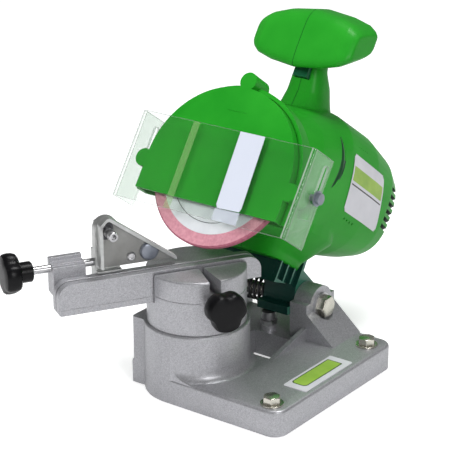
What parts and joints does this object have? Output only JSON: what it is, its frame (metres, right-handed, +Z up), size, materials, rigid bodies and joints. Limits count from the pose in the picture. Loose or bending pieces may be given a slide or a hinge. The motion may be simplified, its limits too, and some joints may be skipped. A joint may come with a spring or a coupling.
{
  "type": "chainsaw chain sharpener",
  "caption": "Bench grinder for saw chain: cast base, turning chain vise with adjustable stop, and a hinged motor head with guarded disc wheel, clear visor and T-shaped grip.",
  "frame": {"origin": "midway between the two bench bolt holes, on the underside of the base", "axes": "+X to the base's free right side along the head's hinge, +Y from the vise to the motor, +Z up"},
  "size_m": [0.173, 0.2919, 0.2206],
  "materials": {
    "cast_paint": "satin",
    "green_plastic": "satin",
    "dark_green": "satin",
    "clear_plastic": "clear",
    "abrasive": "matte",
    "paper": "matte",
    "steel": "satin",
    "zinc_steel": "satin",
    "dark_steel": "satin",
    "black_plastic": "satin",
    "label": "satin",
    "alloy": "satin",
    "copper": "satin",
    "magnet": "matte"
  },
  "bodies": {
    "base": {"base_casting": "cast_paint", "base_label_plate": "label", "hinge_bolt": "zinc_steel", "hinge_nut": "steel", "hinge_washers": "steel", "depth_stop_nut": "steel", "return_spring": "dark_steel"},
    "depth_stop": {"depth_stop_screw": "steel"},
    "vise": {"vise_turret": "cast_paint", "vise_stud": "steel", "lock_washer": "steel", "back_jaw": "steel", "jaw_pins": "steel", "back_jaw_screws": "steel", "stop_nut_block": "alloy", "nut_block_screws": "steel"},
    "lock_knob": {"angle_lock_knob": "black_plastic"},
    "clamp_jaw": {"front_jaw": "steel"},
    "clamp_handle": {"clamp_screw": "steel", "clamp_knob": "black_plastic"},
    "stop_carriage": {"stop_bracket": "zinc_steel", "pawl_nut": "steel", "pawl_bolt": "steel"},
    "stop_handle": {"stop_rod": "steel", "stop_knob": "black_plastic"},
    "pawl": {"stop_pawl": "zinc_steel", "pawl_screw": "steel"},
    "head": {"housing_left": "green_plastic", "housing_right": "green_plastic", "housing_screws": "steel", "housing_label_plate": "label", "switch_body": "black_plastic", "cord_gland": "black_plastic", "head_foot": "dark_green", "guard_back": "green_plastic", "guard_cover": "green_plastic", "guard_screws": "steel", "visor_lugs": "green_plastic", "visor_screws": "steel", "visor_washers": "steel", "motor_can": "steel", "motor_front_cap": "alloy", "motor_rear_cap": "alloy", "shaft_bearings": "steel", "field_magnets": "magnet", "carbon_brushes": "magnet", "brush_boxes": "dark_steel"},
    "wheel": {"grinding_wheel": "abrasive", "wheel_blotters": "paper", "inner_flange": "steel", "outer_flange": "steel", "arbor_nut": "steel", "motor_shaft": "steel", "rotor_core": "dark_steel", "commutator": "copper", "cooling_fan": "black_plastic"},
    "trigger": {"trigger_button": "black_plastic"},
    "visor": {"visor": "clear_plastic"}
  },
  "joints": [
    {"name": "head_swing", "type": "hinge", "parent": "base", "child": "head", "pos_m": [-0.0758, 0.0525, 0.037], "axis": [1, 0, 0], "range_deg": [0, 5.5], "stiffness_Nm_per_rad": 0.4, "springref_deg": -68.75, "deforming": ["return_spring"]},
    {"name": "depth_stop_turn", "type": "hinge", "parent": "base", "child": "depth_stop", "pos_m": [-0.0668, 0.037, 0.022], "axis": [0, 0, 1], "range_deg": [-180, 180]},
    {"name": "vise_turn", "type": "hinge", "parent": "base", "child": "vise", "pos_m": [-0.0758, -0.0295, 0.05], "axis": [0, 0, 1], "range_deg": [-3.8, 66.2]},
    {"name": "angle_lock_turn", "type": "hinge", "parent": "vise", "child": "lock_knob", "pos_m": [-0.0758, -0.0295, 0.018], "axis": [0, 0, 1], "range_deg": [-90, 90]},
    {"name": "clamp_knob_turn", "type": "hinge", "parent": "clamp_jaw", "child": "clamp_handle", "pos_m": [-0.03389, -0.05488, 0.0705], "axis": [0.8554, -0.518, 0], "range_deg": [0, 432.01]},
    {"name": "clamp_jaw_slide", "type": "slide", "parent": "vise", "child": "clamp_jaw", "axis": [0.8554, -0.518, 0], "range_m": [0, 0.0012]},
    {"name": "stop_slide", "type": "slide", "parent": "vise", "child": "stop_carriage", "axis": [-0.518, -0.8554, 0], "range_m": [-0.004, 0.004]},
    {"name": "stop_knob_turn", "type": "hinge", "parent": "stop_carriage", "child": "stop_handle", "pos_m": [-0.14564, -0.12165, 0.0903], "axis": [-0.518, -0.8554, 0], "range_deg": [-1440.01, 1440.01]},
    {"name": "pawl_lift", "type": "hinge", "parent": "stop_carriage", "child": "pawl", "pos_m": [-0.1096, -0.07567, 0.1126], "axis": [-0.8554, 0.518, 0], "range_deg": [-60, 0]},
    {"name": "wheel_spin", "type": "hinge", "parent": "head", "child": "wheel", "pos_m": [-0.0758, -0.0006, 0.1359], "axis": [0, 0.8171, -0.5764], "continuous": true},
    {"name": "trigger_press", "type": "slide", "parent": "head", "child": "trigger", "axis": [0, 0.8171, -0.5764], "range_m": [0, 0.0025], "stiffness_N_per_m": 200, "springref_m": -0.002},
    {"name": "visor_slide", "type": "slide", "parent": "head", "child": "visor", "axis": [0, -0.5764, -0.8171], "range_m": [0, 0.01]}
  ],
  "couplings": [
    {"joint": "clamp_knob_turn", "follows": "clamp_jaw_slide", "rad_per_m": 6283.2},
    {"joint": "stop_knob_turn", "follows": "stop_slide", "rad_per_m": 6283.2}
  ]
}
